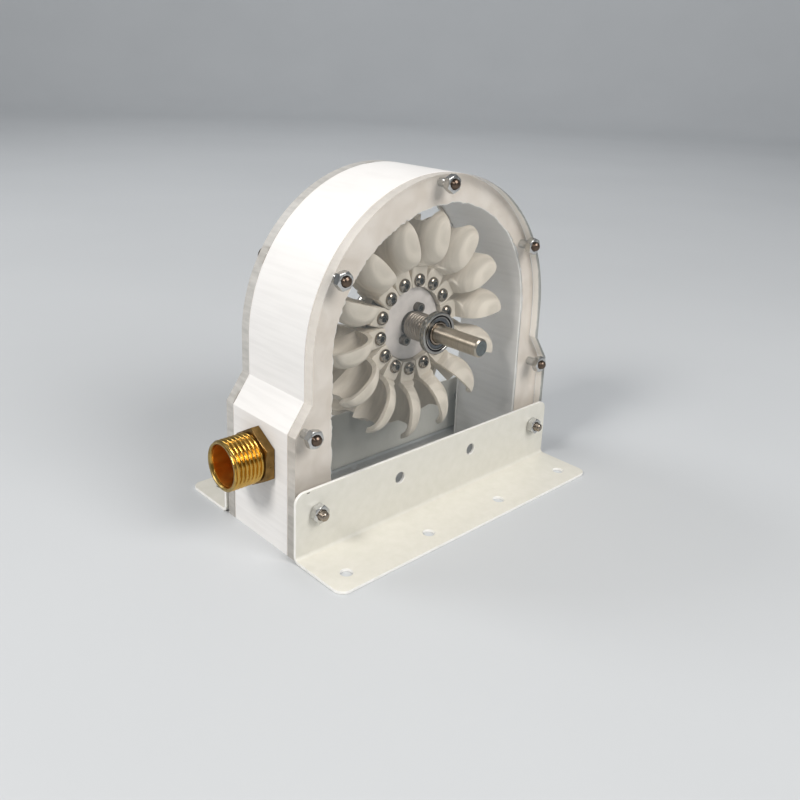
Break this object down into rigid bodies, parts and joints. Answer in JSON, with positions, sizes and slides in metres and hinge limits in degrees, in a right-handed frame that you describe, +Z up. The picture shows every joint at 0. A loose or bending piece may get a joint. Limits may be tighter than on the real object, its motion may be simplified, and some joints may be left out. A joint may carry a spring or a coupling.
{
  "type": "bench micro pelton turbine",
  "caption": "Small pelton wheel of bolted twin cups in a white arched housing with clear plates, angle feet and a threaded brass inlet.",
  "frame": {"origin": "on the ground under the middle of the whole unit's box", "axes": "+X from the inlet along the housing, +Y from the shaft's long end to the rear, +Z up"},
  "size_m": [0.1728, 0.1092, 0.149],
  "materials": {
    "white_print": "printed white plastic, satin",
    "clear_plate": "clear acrylic sheet with sawn edges",
    "cream_coating": "cream powder coat on sheet steel",
    "brass": "bright cut threads and a dull cast hexagon",
    "bearing_steel": "ground bearing steel",
    "bolt_steel": "bright zinc plate",
    "shaft_steel": "turned steel, fine lathe marks",
    "hub_print": "printed pale grey plastic",
    "bucket_print": "printed warm grey plastic, matte"
  },
  "bodies": {
    "housing": {"housing_ring": "white_print", "front_plate": "clear_plate", "rear_plate": "clear_plate", "front_bracket": "cream_coating", "rear_bracket": "cream_coating", "inlet_nipple": "brass", "front_bearing_outer": "bearing_steel", "rear_bearing_outer": "bearing_steel", "tie_bolt_1": "bolt_steel", "tie_bolt_2": "bolt_steel", "tie_bolt_3": "bolt_steel", "tie_bolt_4": "bolt_steel", "tie_bolt_5": "bolt_steel", "tie_bolt_6": "bolt_steel", "tie_bolt_7": "bolt_steel", "tie_nut_1": "bolt_steel", "tie_nut_2": "bolt_steel", "tie_nut_3": "bolt_steel", "tie_nut_4": "bolt_steel", "tie_nut_5": "bolt_steel", "tie_nut_6": "bolt_steel", "tie_nut_7": "bolt_steel"},
    "wheel": {"shaft": "shaft_steel", "wheel_hub": "hub_print", "front_collar": "shaft_steel", "rear_collar": "shaft_steel", "front_bearing_inner": "bearing_steel", "rear_bearing_inner": "bearing_steel", "bucket_01": "bucket_print", "bucket_02": "bucket_print", "bucket_03": "bucket_print", "bucket_04": "bucket_print", "bucket_05": "bucket_print", "bucket_06": "bucket_print", "bucket_07": "bucket_print", "bucket_08": "bucket_print", "bucket_09": "bucket_print", "bucket_10": "bucket_print", "bucket_11": "bucket_print", "bucket_12": "bucket_print", "bucket_13": "bucket_print", "bucket_14": "bucket_print"}
  },
  "joints": [
    {"name": "wheel_spin", "type": "hinge", "parent": "housing", "child": "wheel", "pos_m": [0.0084, 0, 0.08], "axis": [0, -1, 0], "continuous": true}
  ]
}
